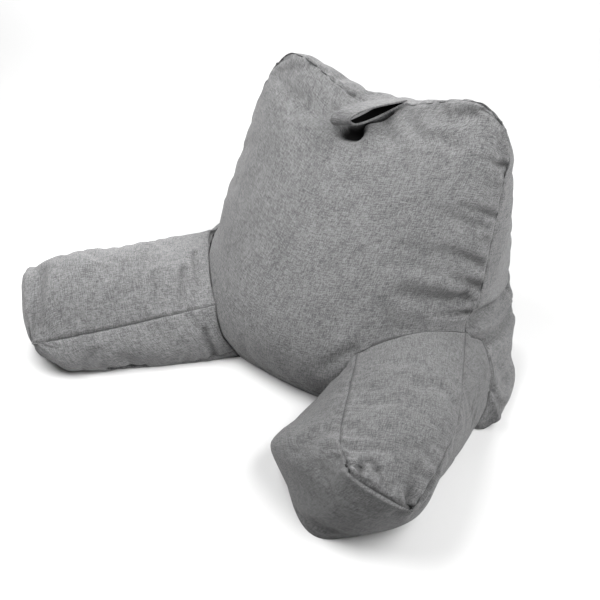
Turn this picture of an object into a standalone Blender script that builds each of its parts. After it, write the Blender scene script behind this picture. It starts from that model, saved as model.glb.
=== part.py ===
"""A reading pillow with arms: a stuffed backrest, two stuffed arms and a carrying loop.

X runs along the front of the backrest, Y from its front to its back, and Z is up. Each cushion
is one closed form of sewn panels, laid out about the middle of the backrest's front foot. An
empty then carries every piece to the origin, which is the middle of the bounding box on the
surface that the pillow rests on.
"""

import math

import bmesh
import bpy
from mathutils import Vector

# Driving dimensions, in metres unless a comment says otherwise.
BACK_SQUARES = (20, 14, 5)  # panel squares across, up and through the backrest
BACK_EASE = 4  # rounds of smoothing that round the backrest's panels
ARM_SQUARES = (7, 14, 5)  # panel squares across, along and up an arm
ARM_EASE = 3  # rounds of smoothing that round an arm's panels
ARM_TAIL = -0.35  # where an arm starts inside the backrest, as a share of its length
SEWN_GAP = 0.0010  # clear space between two cushions that are sewn together
FLAT_BELOW = 0.000001  # what is no higher than this rests on the surface
STRAP_THICKNESS = 0.0030
STRAP_SQUARES = 4  # squares across the strap
STRAP_STEPS = 5  # squares along the strap between two rows of its table
MERGE = 0.0001  # corners closer than this become one

# Powers that keep a bulge close to one seam: the higher, the closer.
BESIDE_SIDE_SEAM = 12
BESIDE_TOP_SEAM = 12
BESIDE_ARM_TIP = 14
BESIDE_ARM_SEAM = 8
DOWN_ARM_FRONT = 1.5
PANEL_FULLNESS = 0.75  # the lower, the fuller a panel is close to its seams
FRONT_SQUARENESS = 0.15  # share of an arm's front bulge that its corners keep
FRONT_LEAN = 0.9  # below 1 the front bulges more towards the sitter than away
TIP_CROWN = 0.5  # share of an arm's crown left at its tip
OUT_BEGINS = 0.2  # how far behind its root an arm's outer bulge begins, as a share of its length
EASE_SHARE = 0.5  # how far a round of smoothing moves a corner towards its neighbours

CLOTH_GREY = (0.27, 0.27, 0.275)
CLOTH_ROUGHNESS = 0.92
CLOTH_SHEEN = 0.25


def table(columns, *rows):
    return [dict(zip(columns.split(), row)) for row in rows]


# The backrest from its foot to its top seam. rise is a share of the height. The side seam joins
# front panel and side strip, and the rear seam joins side strip and back panel. swell is the
# bulge of the side strip, crown the bulge of the back panel, and fall the power by which the
# front panel drops away from its middle.
BACK_ROWS = table(
    "rise centre_y side_x side_y rear_x rear_y swell crown fall",
    (0.00, -0.004, 0.320, 0.094, 0.250, 0.300, 0.032, 0.012, 2.2),
    (0.08, -0.020, 0.340, 0.104, 0.256, 0.322, 0.015, 0.022, 2.3),
    (0.19, -0.026, 0.292, 0.130, 0.240, 0.327, 0.006, 0.026, 2.4),
    (0.29, -0.020, 0.243, 0.153, 0.232, 0.328, 0.007, 0.028, 2.4),
    (0.42, 0.018, 0.246, 0.178, 0.227, 0.325, 0.007, 0.028, 2.3),
    (0.56, 0.066, 0.240, 0.204, 0.222, 0.320, 0.008, 0.028, 2.2),
    (0.84, 0.168, 0.226, 0.250, 0.208, 0.310, 0.008, 0.018, 2.3),
    (0.93, 0.212, 0.222, 0.262, 0.204, 0.306, 0.008, 0.012, 2.3),
    (1.00, 0.256, 0.204, 0.270, 0.194, 0.302, 0.006, 0.004, 2.3),
)

# The top edge from the left ear, through the notch, to the right ear. across is a share of the
# half width, front and rear the heights of the seams along the top strip, and swell its bulge.
TOP_ROWS = table(
    "across front rear swell",
    (-1.00, 0.373, 0.366, 0.004),
    (-0.93, 0.397, 0.382, 0.005),
    (-0.80, 0.416, 0.392, 0.005),
    (-0.60, 0.412, 0.385, 0.005),
    (-0.35, 0.391, 0.373, 0.006),
    (-0.17, 0.377, 0.368, 0.008),
    (-0.02, 0.376, 0.369, 0.008),
    (0.12, 0.384, 0.370, 0.006),
    (0.30, 0.396, 0.376, 0.004),
    (0.55, 0.415, 0.386, 0.003),
    (0.80, 0.427, 0.392, 0.003),
    (0.93, 0.413, 0.378, 0.003),
    (1.00, 0.394, 0.366, 0.003),
)

# Each arm from its root to its tip. inner and outer are the seams round its top panel, and the
# feet are where its sides meet the surface. top, in and out are how far those panels bulge.
ARM_COLUMNS = (
    "along inner_x inner_y inner_z outer_x outer_y outer_z "
    "foot_in_x foot_in_y foot_out_x foot_out_y top in out"
)
ARM_ROWS = {
    "arm_right": table(
        ARM_COLUMNS,
        (0.0, 0.130, 0.025, 0.116, 0.246, 0.150, 0.116, 0.088, 0.002, 0.302, 0.085, 0.025, 0.006, 0.056),
        (0.5, 0.182, -0.083, 0.136, 0.317, -0.008, 0.115, 0.086, -0.080, 0.310, -0.024, 0.026, 0.012, 0.004),
        (0.8, 0.217, -0.152, 0.142, 0.337, -0.104, 0.113, 0.096, -0.110, 0.302, -0.084, 0.020, 0.044, 0.004),
        (1.0, 0.257, -0.192, 0.142, 0.340, -0.169, 0.104, 0.104, -0.128, 0.302, -0.118, 0.014, 0.066, 0.018),
    ),
    "arm_left": table(
        ARM_COLUMNS,
        (0.0, -0.113, 0.003, 0.098, -0.249, 0.130, 0.114, -0.080, 0, -0.310, 0.090, 0.018, 0.016, 0.016),
        (0.5, -0.210, -0.105, 0.080, -0.330, 0, 0.120, -0.160, -0.084, -0.360, 0.010, 0.044, 0.018, 0.026),
        (0.8, -0.275, -0.178, 0.071, -0.387, -0.079, 0.122, -0.224, -0.140, -0.390, -0.066, 0.058, 0.020, 0.020),
        (1.0, -0.316, -0.225, 0.066, -0.420, -0.132, 0.112, -0.270, -0.178, -0.405, -0.113, 0.060, 0.028, 0.016),
    ),
}
# How far each rounded front end bulges ahead of its foot, and the front edge of its top panel.
ARM_FRONTS = {"arm_right": {"foot": 0.100, "lip": 0.010}, "arm_left": {"foot": 0.058, "lip": 0.003}}

# The carrying loop, from its upper end at the top seam, round its front turn, to its lower end.
# near and far are the edges of the strap towards the right arm and the left arm.
STRAP_ROWS = table(
    "near_x near_y near_z far_x far_y far_z",
    (0.054, 0.2560, 0.3990, 0.018, 0.2570, 0.3905),
    (0.032, 0.2160, 0.4000, -0.004, 0.2170, 0.3945),
    (0.014, 0.1890, 0.3955, -0.022, 0.1900, 0.3900),
    (0.005, 0.1790, 0.3850, -0.031, 0.1785, 0.3775),
    (0.011, 0.1890, 0.3755, -0.024, 0.1840, 0.3665),
    (0.027, 0.2160, 0.3795, -0.008, 0.2130, 0.3700),
    (0.053, 0.2520, 0.3955, 0.017, 0.2530, 0.3870),
)


def hermite(before, start, end, after, share):
    """The value a share of the way from start to end on the smooth curve through four pairs,
    each of a place along the curve and the value there."""
    width = end[0] - start[0]
    leave = (end[1] - before[1]) / (end[0] - before[0]) * width
    arrive = (after[1] - start[1]) / (after[0] - start[0]) * width
    square = share ** 2
    cube = share ** 3
    return (
        (2 * cube - 3 * square + 1) * start[1]
        + (cube - 2 * square + share) * leave
        + (3 * square - 2 * cube) * end[1]
        + (cube - square) * arrive
    )


def read(rows, key, name, at):
    """A column's value at a place between the rows, along a smooth curve through them."""
    pairs = [(row[key], row[name]) for row in rows]
    index = 0
    while index < len(pairs) - 2 and at > pairs[index + 1][0]:
        index += 1
    start, end = pairs[index], pairs[index + 1]
    before = pairs[index - 1] if index else start
    after = pairs[index + 2] if index + 2 < len(pairs) else end
    return hermite(before, start, end, after, (at - start[0]) / (end[0] - start[0]))


def bulge(share):
    """0 at both seams of a panel and 1 in its middle, steeper at the seams than a sine."""
    return math.sin(math.pi * min(max(share, 0.0), 1.0)) ** PANEL_FULLNESS


def sewn_box(squares, place):
    """A closed mesh with the squares of a box's six faces, each corner put where place says.

    place takes shares of the way across, along and up. Returns the mesh and its vertices by
    their three counts."""
    mesh = bmesh.new()
    counts = {}

    def corner(*count):
        if count not in counts:
            counts[count] = mesh.verts.new(place(*(n / total for n, total in zip(count, squares))))
        return counts[count]

    for axis in range(3):
        first, second = [other for other in range(3) if other != axis]
        for level in (0, squares[axis]):
            for i in range(squares[first]):
                for j in range(squares[second]):
                    quad = []
                    for step_i, step_j in ((0, 0), (1, 0), (1, 1), (0, 1)):
                        count = [0, 0, 0]
                        count[axis] = level
                        count[first] = i + step_i
                        count[second] = j + step_j
                        quad.append(corner(*count))
                    mesh.faces.new(quad)
    bmesh.ops.recalc_face_normals(mesh, faces=mesh.faces)
    return mesh, counts


def ease(mesh, free, rounds):
    """Rounds off the panels between their seams, and leaves what rests on the surface flat."""
    standing = [vertex for vertex in free if vertex.co.z > FLAT_BELOW]
    for _ in range(rounds):
        bmesh.ops.smooth_vert(
            mesh, verts=standing, factor=EASE_SHARE, use_axis_x=True, use_axis_y=True, use_axis_z=True
        )


def cloth(name):
    material = bpy.data.materials.new(name)
    material.use_nodes = True
    shader = material.node_tree.nodes["Principled BSDF"]
    shader.inputs["Base Color"].default_value = (*CLOTH_GREY, 1.0)
    shader.inputs["Roughness"].default_value = CLOTH_ROUGHNESS
    shader.inputs["Metallic"].default_value = 0.0
    shader.inputs["Sheen Weight"].default_value = CLOTH_SHEEN
    return material


def add_piece(name, mesh, carrier):
    """An object of its own for a mesh, in cloth of its own, on the empty that carries it."""
    bmesh.ops.triangulate(mesh, faces=mesh.faces)
    data = bpy.data.meshes.new(name)
    mesh.to_mesh(data)
    mesh.free()
    data.shade_smooth()
    data.materials.append(cloth(f"{name}_cloth"))
    piece = bpy.data.objects.new(name, data)
    bpy.context.scene.collection.objects.link(piece)
    piece.parent = carrier
    return piece


def backrest_point(across, up, through):
    """A point of the backrest's surface, from shares across, up and from front to back."""
    side = 2 * across - 1
    half = abs(side)
    row = {name: read(BACK_ROWS, "rise", name, up) for name in BACK_ROWS[0]}
    top = {name: read(TOP_ROWS, "across", name, side) for name in ("front", "rear", "swell")}
    front = Vector((
        row["side_x"] * side,
        row["side_y"] + (row["centre_y"] - row["side_y"]) * (1 - half ** row["fall"]),
        top["front"] * up,
    ))
    rear = Vector((
        row["rear_x"] * side,
        row["rear_y"] + row["crown"] * (1 - side ** 2),
        top["rear"] * up,
    ))
    point = front.lerp(rear, through)
    point.x += math.copysign(row["swell"] * bulge(through), side) * half ** BESIDE_SIDE_SEAM
    point.z += top["swell"] * bulge(through) * up ** BESIDE_TOP_SEAM
    return point


def make_backrest(carrier):
    across, up, through = BACK_SQUARES
    mesh, counts = sewn_box(BACK_SQUARES, backrest_point)
    seam = {
        vertex
        for (i, j, k), vertex in counts.items()
        if k in (0, through) and (i in (0, across) or j in (0, up))
    }
    ease(mesh, [vertex for vertex in mesh.verts if vertex not in seam], BACK_EASE)
    return add_piece("backrest", mesh, carrier)


def arm_point(name, across, along, up):
    """A point of an arm's surface, from shares across, along and up."""
    rows = ARM_ROWS[name]
    at = ARM_TAIL + (1 - ARM_TAIL) * along
    row = {column: read(rows, "along", column, at) for column in rows[0]}
    inner = Vector((row["inner_x"], row["inner_y"], row["inner_z"]))
    outer = Vector((row["outer_x"], row["outer_y"], row["outer_z"]))
    foot_in = Vector((row["foot_in_x"], row["foot_in_y"], 0.0))
    foot_out = Vector((row["foot_out_x"], row["foot_out_y"], 0.0))
    point = foot_in.lerp(foot_out, across).lerp(inner.lerp(outer, across), up)

    outward = (outer - inner).normalized()
    forward = Vector((outward.y, -outward.x, 0.0)) * math.copysign(1.0, outer.x)
    begun = min(1.0, max(0.0, 1 + at / OUT_BEGINS))
    point += outward * row["out"] * begun * bulge(up) * across ** BESIDE_ARM_SEAM
    point -= outward * row["in"] * bulge(up) * (1 - across) ** BESIDE_ARM_SEAM
    tip = along ** BESIDE_ARM_TIP
    crown = row["top"] * (1 - (1 - TIP_CROWN) * tip)
    point.z += crown * bulge(across) * up ** BESIDE_ARM_SEAM
    low = 1 - up ** DOWN_ARM_FRONT
    front = ARM_FRONTS[name]
    fullness = FRONT_SQUARENESS + (1 - FRONT_SQUARENESS) * bulge(across ** FRONT_LEAN) ** 2
    point += forward * tip * low * front["foot"] * fullness
    point += forward * tip * (1 - low) * front["lip"] * bulge(across)
    return point


def make_cutter(name, backrest):
    """A copy of the backrest, swollen by the sewn gap, that trims an arm's end to fit it."""
    cutter = backrest.copy()
    cutter.data = backrest.data.copy()
    cutter.name = name
    bpy.context.scene.collection.objects.link(cutter)
    for vertex in cutter.data.vertices:
        vertex.co += vertex.normal * SEWN_GAP
    cutter.hide_render = True
    cutter.display_type = "WIRE"
    return cutter


def make_arm(name, backrest, carrier):
    """An arm that runs on into the backrest as panels and is trimmed where the two are sewn."""
    across, along, up = ARM_SQUARES
    mesh, counts = sewn_box(ARM_SQUARES, lambda *shares: arm_point(name, *shares))
    seam = {
        vertex
        for (i, j, k), vertex in counts.items()
        if k == up and (i in (0, across) or j == along)
    }
    ease(mesh, [vertex for vertex in mesh.verts if vertex not in seam], ARM_EASE)
    arm = add_piece(name, mesh, carrier)
    trim = arm.modifiers.new("trim", "BOOLEAN")
    trim.operation = "DIFFERENCE"
    trim.object = make_cutter(f"{name}_cutter", backrest)
    tidy = arm.modifiers.new("tidy", "WELD")
    tidy.merge_threshold = MERGE
    return arm


def strap_edges():
    """The two edges of the strap as smooth rows of points, near and far."""
    names = ("near_x", "near_y", "near_z", "far_x", "far_y", "far_z")
    rows = [dict(row, place=index) for index, row in enumerate(STRAP_ROWS)]
    edges = []
    for step in range((len(rows) - 1) * STRAP_STEPS + 1):
        at = step / STRAP_STEPS
        values = [read(rows, "place", name, at) for name in names]
        edges.append((Vector(values[:3]), Vector(values[3:])))
    return edges


def make_loop(carrier):
    """The strap as one folded sheet, with half of its thickness on each side."""
    mesh = bmesh.new()
    edges = strap_edges()
    lines = [
        [mesh.verts.new(near.lerp(far, n / STRAP_SQUARES)) for n in range(STRAP_SQUARES + 1)]
        for near, far in edges
    ]
    for line, beyond in zip(lines, lines[1:]):
        for n in range(STRAP_SQUARES):
            mesh.faces.new((line[n], line[n + 1], beyond[n + 1], beyond[n]))
    bmesh.ops.recalc_face_normals(mesh, faces=mesh.faces)
    loop = add_piece("carry_loop", mesh, carrier)
    thickness = loop.modifiers.new("thickness", "SOLIDIFY")
    thickness.thickness = STRAP_THICKNESS
    thickness.offset = 0.0
    return loop


def stand_on_origin(carrier, pieces):
    """Moves the empty so that the middle of the pieces' bounding box stands on the origin."""
    bpy.context.view_layer.update()
    graph = bpy.context.evaluated_depsgraph_get()
    corners = [
        piece.matrix_world @ Vector(corner)
        for piece in (each.evaluated_get(graph) for each in pieces)
        for corner in piece.bound_box
    ]
    for axis in (0, 1):
        values = [corner[axis] for corner in corners]
        carrier.location[axis] = -(min(values) + max(values)) / 2


def main():
    for leftover in list(bpy.data.objects):
        bpy.data.objects.remove(leftover)
    carrier = bpy.data.objects.new("pillow_place", None)
    bpy.context.scene.collection.objects.link(carrier)
    backrest = make_backrest(carrier)
    arms = [make_arm(name, backrest, carrier) for name in ARM_ROWS]
    loop = make_loop(carrier)
    stand_on_origin(carrier, [backrest, *arms, loop])


main()
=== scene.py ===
"""Looks of a reading pillow with arms: stuffed panels, sewn seams, woven cloth and a carrying loop.

A Blender add-on that is run as a script. Each cushion is a skin of squares, shaped by a few rows of
sizes in metres, stuffed by a short cloth simulation and sewn: its seams are drawn in and puckered,
and its main folds are pressed in.
"""

import bpy
import numpy as np
from bpy.props import FloatProperty, FloatVectorProperty, IntProperty, PointerProperty
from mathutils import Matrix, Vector, noise
from mathutils.bvhtree import BVHTree
from mathutils.kdtree import KDTree


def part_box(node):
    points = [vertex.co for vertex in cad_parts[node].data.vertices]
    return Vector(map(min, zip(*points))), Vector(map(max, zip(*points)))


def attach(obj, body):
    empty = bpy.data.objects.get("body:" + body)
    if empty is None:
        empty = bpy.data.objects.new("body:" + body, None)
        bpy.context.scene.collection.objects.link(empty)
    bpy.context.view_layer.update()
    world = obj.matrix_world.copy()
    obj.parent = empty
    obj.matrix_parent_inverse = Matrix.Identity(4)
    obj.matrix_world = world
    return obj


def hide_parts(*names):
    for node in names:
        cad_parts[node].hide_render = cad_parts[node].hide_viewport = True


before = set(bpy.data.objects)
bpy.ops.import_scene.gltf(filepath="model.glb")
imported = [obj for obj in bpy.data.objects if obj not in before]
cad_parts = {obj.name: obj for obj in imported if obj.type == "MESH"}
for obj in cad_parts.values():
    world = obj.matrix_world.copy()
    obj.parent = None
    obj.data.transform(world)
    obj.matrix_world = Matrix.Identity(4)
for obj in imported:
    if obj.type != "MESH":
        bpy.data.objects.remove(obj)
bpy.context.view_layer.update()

bl_info = {
    "name": "Reading Pillow with Arms",
    "version": (1, 0, 0),
    "blender": (4, 5, 0),
    "location": "View3D > Sidebar > Pillow",
    "description": "Builds a stuffed reading pillow round its packed frame",
    "category": "Add Mesh",
}

WEAVE_MAP = "weave"
# The cloth is mixed towards unlit black as far as this attribute says: painted shade.
SEAM_GAP = "seam_gap"
PAINTED_SHADE = "painted_shade"
FAR_FROM_SEAM = 0.05
FLAT_BELOW = 1e-6  # what lies lower is part of a flat underside

# Squares of a skin when it is shaped and stuffed, and when it is sewn and finished.
BACK_SHAPED = (80, 56, 20)
BACK_FINISHED = (192, 136, 44)
BACK_EASE = 64  # rounds of easing before stuffing
ARM_SHAPED = (28, 56, 20)
ARM_FINISHED = (76, 170, 52)
ARM_EASE = 48
FINISHED_EASE = 3
CROWDING = 0.6  # how much closer together the squares lie beside a seam
ARM_TAIL = -0.35  # where an arm starts inside the backrest, as a share of its length
ARM_ROOT_HELD = 0.26  # the share of an arm, from its hidden start, that stuffing does not move
ARM_ROOT_FADE = 0.3  # the share after it over which stuffing takes hold

# The foot is the middle of the backrest's front edge on the surface.
FOOT_TO_REAR = 0.355
VIEW_FROM_FOOT = (-0.085, 0.177, 0.0)  # the place on the surface that the camera looks at
LIT_FROM_FOOT = (-0.045, 0.127, 0.10)  # the place that the lamps face

# How closely a bulge keeps to its seam: the larger, the closer.
BESIDE_BACK_SEAM = 12
BESIDE_ARM_TIP = 14
BESIDE_ARM_SEAM = 8

# The shapes of stuffed panels, as shares and powers.
PANEL_FULLNESS = 0.75
DOWN_ARM_FRONT = 1.5
FRONT_SQUARENESS = 0.15
FRONT_LEAN = 0.9
TIP_CROWN = 0.5
OUT_BEGINS = 0.2  # how far behind its root an arm's outer bulge begins, as a share of its length

# Folds and seams.
FOLD_STEPS = 60
FOLD_REACH = 4  # how many half widths away a fold still moves the cloth
FOLD_FADING = 1.5
FOLD_CLEAR_OF_SEAM = 0.006  # from a seam, the way over which a fold reaches its full depth
FOLD_AT_SEAM = 0.2  # the share of its depth that it has on the seam
FOLD_SHOULDER = 0.22  # how high the cloth beside a fold stands, as a share of its depth
FOLD_SHOULDER_AT = 1.9  # where that is, in half widths
SEAM_STEP = 0.0008
SEAM_SHOULDER = 0.5  # how high the cloth beside a seam stands, as a share of a pucker's height
PUCKER_SPACING = (0.5, 1.6)  # least and most, as shares of the usual spacing
PUCKER_HEIGHT = (0.15, 1.0)

# The kinds of unevenness of the yarns: how large each is, and how much it changes the tone.
MOTTLE_SIZE = 0.0019
MOTTLE_TONE = 0.75
STREAK_SIZE = (0.0016, 0.02)
STREAK_TONE = 0.3
DRIFT_SIZE = 0.05
DRIFT_TONE = 0.25
YARN_TONE = 1.3
MIDDLE_TONE = 0.49
YARN_APART = 1.7  # steps through the noise that keep one yarn unlike the next
ELSEWHERE = (50.0, 90.0, 70.0)  # steps that keep one kind unlike another
PANELS_APART = (1.13, 0.71)  # how far apart in the weave the panels of a cushion are cut
YARN_RELIEF = 0.8  # how much a yarn's unevenness adds to the relief of the weave
RELIEF_DEPTH = 0.0004
RELIEF_STRENGTH = 0.5
SHEEN_ROUGHNESS = 0.6
SPECULAR = 0.2
# The dark line along each seam is painted shade for its valley, beside the real shade of the drawn-in
# valley.
SEAM_LINE = (0.0002, 0.0016)  # from a seam, where its dark line begins to fade and ends
SEAM_SHADE_COLOUR = (0.035, 0.035, 0.036, 1.0)
# the unlit black of painted shade in folds, in the hollow under the loop and inside the strap
UNLIT_COLOUR = (0.004, 0.004, 0.004, 1.0)

# How the cloth of a cushion behaves while it is stuffed.
STUFFING = {
    "quality": 6, "mass": 0.2, "vertex_group_mass": "held", "pin_stiffness": 1.0, "use_pressure": True,
    "tension_stiffness": 15.0, "compression_stiffness": 15.0, "shear_stiffness": 5.0,
    "bending_stiffness": 0.3,
}

FLOOR_HALF = 6.0
SENSOR_WIDTH = 36.0  # in millimetres


def table(columns, *rows):
    """Rows by the names of their columns. What a row leaves out at its end is 0."""
    names = columns.split()
    return [dict.fromkeys(names, 0.0) | dict(zip(names, row)) for row in rows]


# The backrest from its foot to its top seam, measured from the foot.
BACK_ROWS = table(
    "rise centre_y side_x side_y rear_x rear_y swell crown fall",
    (0, -0.004, 0.32, 0.094, 0.25, 0.3, 0.032, 0.012, 2.2),
    (0.08, -0.02, 0.34, 0.104, 0.256, 0.322, 0.015, 0.022, 2.3),
    (0.19, -0.026, 0.292, 0.13, 0.24, 0.327, 0.006, 0.026, 2.4),
    (0.29, -0.02, 0.243, 0.153, 0.232, 0.328, 0.007, 0.028, 2.4),
    (0.42, 0.018, 0.246, 0.178, 0.227, 0.325, 0.007, 0.028, 2.3),
    (0.56, 0.066, 0.24, 0.204, 0.222, 0.32, 0.008, 0.028, 2.2),
    (0.84, 0.168, 0.226, 0.25, 0.208, 0.31, 0.008, 0.018, 2.3),
    (0.93, 0.212, 0.222, 0.262, 0.204, 0.306, 0.008, 0.012, 2.3),
    (1, 0.256, 0.204, 0.27, 0.194, 0.302, 0.006, 0.004, 2.3),
)

# The top edge from the left ear, through the notch, to the right ear.
TOP_ROWS = table(
    "across front rear swell",
    (-1, 0.373, 0.366, 0.004),
    (-0.93, 0.397, 0.382, 0.005),
    (-0.8, 0.416, 0.392, 0.005),
    (-0.6, 0.412, 0.385, 0.005),
    (-0.35, 0.391, 0.373, 0.006),
    (-0.17, 0.377, 0.368, 0.008),
    (-0.02, 0.376, 0.369, 0.008),
    (0.12, 0.384, 0.37, 0.006),
    (0.3, 0.396, 0.376, 0.004),
    (0.55, 0.415, 0.386, 0.003),
    (0.8, 0.427, 0.392, 0.003),
    (0.93, 0.413, 0.378, 0.003),
    (1, 0.394, 0.366, 0.003),
)

# Each arm from its root to its tip, measured from the backrest's foot: the seams beside its top
# panel, its inner and outer feet, and its bulges.
ARM_COLUMNS = (
    "along inner_x inner_y inner_z outer_x outer_y outer_z "
    "foot_in_x foot_in_y foot_out_x foot_out_y top in out"
)
ARM_ROWS = {}
ARM_ROWS["arm_right"] = table(
    ARM_COLUMNS,
    (0, 0.13, 0.025, 0.116, 0.246, 0.15, 0.116, 0.088, 0.002, 0.302, 0.085, 0.025, 0.006, 0.056),
    (0.5, 0.182, -0.083, 0.136, 0.317, -0.008, 0.115, 0.086, -0.08, 0.31, -0.024, 0.026, 0.012, 0.004),
    (0.8, 0.217, -0.152, 0.142, 0.337, -0.104, 0.113, 0.096, -0.11, 0.302, -0.084, 0.02, 0.044, 0.004),
    (1, 0.257, -0.192, 0.142, 0.34, -0.169, 0.104, 0.104, -0.128, 0.302, -0.118, 0.014, 0.066, 0.018),
)
ARM_ROWS["arm_left"] = table(
    ARM_COLUMNS,
    (0, -0.113, 0.003, 0.098, -0.249, 0.13, 0.114, -0.08, 0, -0.31, 0.09, 0.018, 0.016, 0.016),
    (0.5, -0.21, -0.105, 0.08, -0.33, 0, 0.12, -0.16, -0.084, -0.36, 0.01, 0.044, 0.018, 0.026),
    (0.8, -0.275, -0.178, 0.071, -0.387, -0.079, 0.122, -0.224, -0.14, -0.39, -0.066, 0.058, 0.02, 0.02),
    (1, -0.316, -0.225, 0.066, -0.42, -0.132, 0.112, -0.27, -0.178, -0.405, -0.113, 0.06, 0.028, 0.016),
)

# How far an arm's front end stands out at its foot and just under its top seam.
ARM_FRONTS = {"arm_right": {"foot": 0.1, "lip": 0.01}, "arm_left": {"foot": 0.058, "lip": 0.003}}

# Painted light and shade: how pale the cloth of each arm is painted beside that of the backrest,
# darker on the right arm and paler on the left, for how the light falls on each.
ARM_PAINTED_LIGHT = {"arm_right": 0.79, "arm_left": 1.12}

# Soft lamps round the pillow. Turn from +X and rise are in degrees.
LAMPS = table(
    "turn rise distance width strength",
    (90, 20, 3.0, 2.0, 0.19),
    (135, 20, 3.0, 2.0, 0.41),
    (0, 50, 3.0, 2.0, 0.29),
    (0, 47, 1.3, 1.0, 0.08),
    (225, 60, 1.3, 1.0, 0.15),
)

# The carrying loop, from its upper end at the top seam, round its front turn, to its lower end.
STRAP_ROWS = table(
    "near_x near_y near_z far_x far_y far_z",
    (0.054, 0.256, 0.399, 0.018, 0.257, 0.3905),
    (0.032, 0.216, 0.4, -0.004, 0.217, 0.3945),
    (0.014, 0.189, 0.3955, -0.022, 0.19, 0.39),
    (0.005, 0.179, 0.385, -0.031, 0.1785, 0.3775),
    (0.011, 0.189, 0.3755, -0.024, 0.184, 0.3665),
    (0.027, 0.216, 0.3795, -0.008, 0.213, 0.37),
    (0.053, 0.252, 0.3955, 0.017, 0.253, 0.387),
)

STRAP_SQUARES = 96

# The strap's folded edge in section: how far in from its edge, and how high as a share of half its
# thickness. The first six places are the lower layer and the fold, the others the upper layer.
STRAP_EDGE = (
    (0.0003, -0.55), (0.0, -0.45), (0.0006, -0.08), (0.0011, 0.0), (0.0006, 0.08), (0.0, 0.45),
    (0.0003, 0.75), (0.0010, 0.97), (0.0020, 1.0), (0.0030, 0.92), (0.0036, 0.66), (0.0042, 0.92),
    (0.0055, 1.0),
)
STRAP_UPPER = 6
STRAP_MIDDLE = (0.5, 0.3, 0.1, -0.1, -0.3, -0.5)  # shares of half the width

# The sides of a skin: the axis that each closes and whether it is at that axis's far end.
BOX_SIDES = [(axis, far) for axis in range(3) for far in (0, 1)]
BACK_SIDES = dict(zip(("left", "right", "bottom", "top", "front", "back"), BOX_SIDES))
ARM_SIDES = dict(zip(("inner", "outer", "root", "front", "bottom", "top"), BOX_SIDES))

# Folds by the side they lie on: where each starts, bends and ends, in hundredths of that side's
# squares, then its half width and depth in millimetres. "fade" is how much of its depth is gone at
# its end and "dark" how much shade is painted at its bottom, for how little light reaches there,
# in hundredths. A negative depth raises a ridge.
FOLD_COLUMNS = "side a1 b1 a2 b2 a3 b3 width depth fade dark"
FOLDS = {}
FOLDS["backrest"] = table(
    FOLD_COLUMNS,
    # creases across the front panel from its right seam
    ("front", 100, 79, 92.5, 77, 85, 76.7, 4.8, 6.8, 80, 30),
    ("front", 100, 76.5, 97, 76, 91, 74.5, 6, 3, 100, 10),
    ("front", 100, 72.5, 97, 72.5, 94, 73, 4, 2.5, 100, 10),
    ("front", 100, 63.5, 90.5, 63.7, 82, 64, 5.2, 8.2, 80, 30),
    ("front", 100, 57.2, 96, 57.5, 91, 57.8, 4.2, 5, 100, 20),
    ("front", 97, 52.1, 88, 53.6, 80, 54.7, 8.2, 8.2, 60, 15),
    ("front", 80, 50.5, 75, 52, 68, 53, 8.5, 4, 70, 5),
    ("front", 100, 47.5, 94, 48.2, 84, 49.8, 7.2, 11.5, 90, 38),
    ("front", 93, 45.2, 86, 44.7, 74, 47.2, 12.5, 13.5, 60, 20),
    ("front", 100, 41.5, 92, 41.5, 84, 42, 4.5, 8, 70, 42),
    # the crest that hides the top seam on the right ear
    ("front", 72, 96.5, 90, 97.5, 98.5, 88, 13, -4.4, 20),
    # soft folds low on the panel
    ("front", 66.5, 36, 63.5, 33.5, 60, 29.5, 9, 5, 70, 10),
    ("front", 40, 9, 55, 14.5, 70, 12, 2.2, 1.8, 0, 35),
    # the hollow under the carrying loop and the slit beside it, both painted black as shade, a spot of
    # painted shade without depth just above the hollow, and the soft folds round them
    ("front", 47.6, 82.4, 48.8, 82.7, 50.2, 83.2, 10.5, 15, 0, 100),
    ("front", 48.2, 83.8, 49.2, 84.1, 50.2, 84.6, 10, 0, 0, 100),
    ("front", 50.5, 86, 53, 90, 55.7, 94.5, 3.2, 4, 20, 100),
    ("front", 40, 89, 42.5, 87, 45, 86.5, 6.5, 2.2, 30),
    ("front", 55, 83.5, 60, 82, 66, 81, 9, 2.2, 100),
    ("front", 50, 80, 47, 74, 46, 68, 11, 1.8, 100),
    # dimples of the top strip in the notch
    ("top", 42.5, 5, 43, 9, 43.5, 13, 4.2, 4.5, 0, 55),
    ("top", 37, 5, 37.2, 8, 37.5, 12, 3.5, 2, 0, 10),
    ("top", 33, 4, 33.2, 7, 33.5, 10, 3.5, 1.8, 0, 10),
    # the side strip between the right arm and the back panel
    ("right", 38.5, 8, 38.5, 35, 34, 82, 9, 8.5, 30, 12),
    ("right", 35.5, 12, 34, 45, 29.6, 78, 3.6, -5.8, 40),
    ("right", 33.5, 12, 31.2, 42, 26.2, 82, 10, 10, 30, 18),
    ("right", 30, 10, 26.2, 24, 20, 42, 4, -3.6, 50),
    ("right", 24.5, 8, 18, 16, 12, 26, 9, 5.5, 20, 25),
    ("right", 20, 30, 17, 60, 16, 95, 10, 5),
    ("right", 62, 5, 66, 40, 68, 80, 8, 2, 80),
    # the left side and the back
    ("left", 45, 5, 48, 45, 52, 90, 8.5, 4.5, 60),
    ("left", 34, 8, 36, 50, 40, 90, 8, 4.5, 60),
    ("left", 66, 5, 69, 50, 70, 90, 7, 2.5, 80),
    ("front", 0, 66, 5, 67, 12, 69, 5, 2.5, 100),
    ("front", 0, 47, 6, 47, 15, 48, 6, 3, 100),
    ("back", 0, 42, 10, 44, 24, 43, 9, 5, 90),
    ("back", 100, 36, 88, 38, 74, 36, 9, 5, 90),
    ("back", 0, 70, 8, 71, 18, 73, 6, 3.5, 90),
    ("back", 100, 62, 93, 63, 82, 66, 6, 4, 90),
    ("back", 52, 100, 51, 93, 50, 84, 8, 4.5, 90),
)
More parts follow.
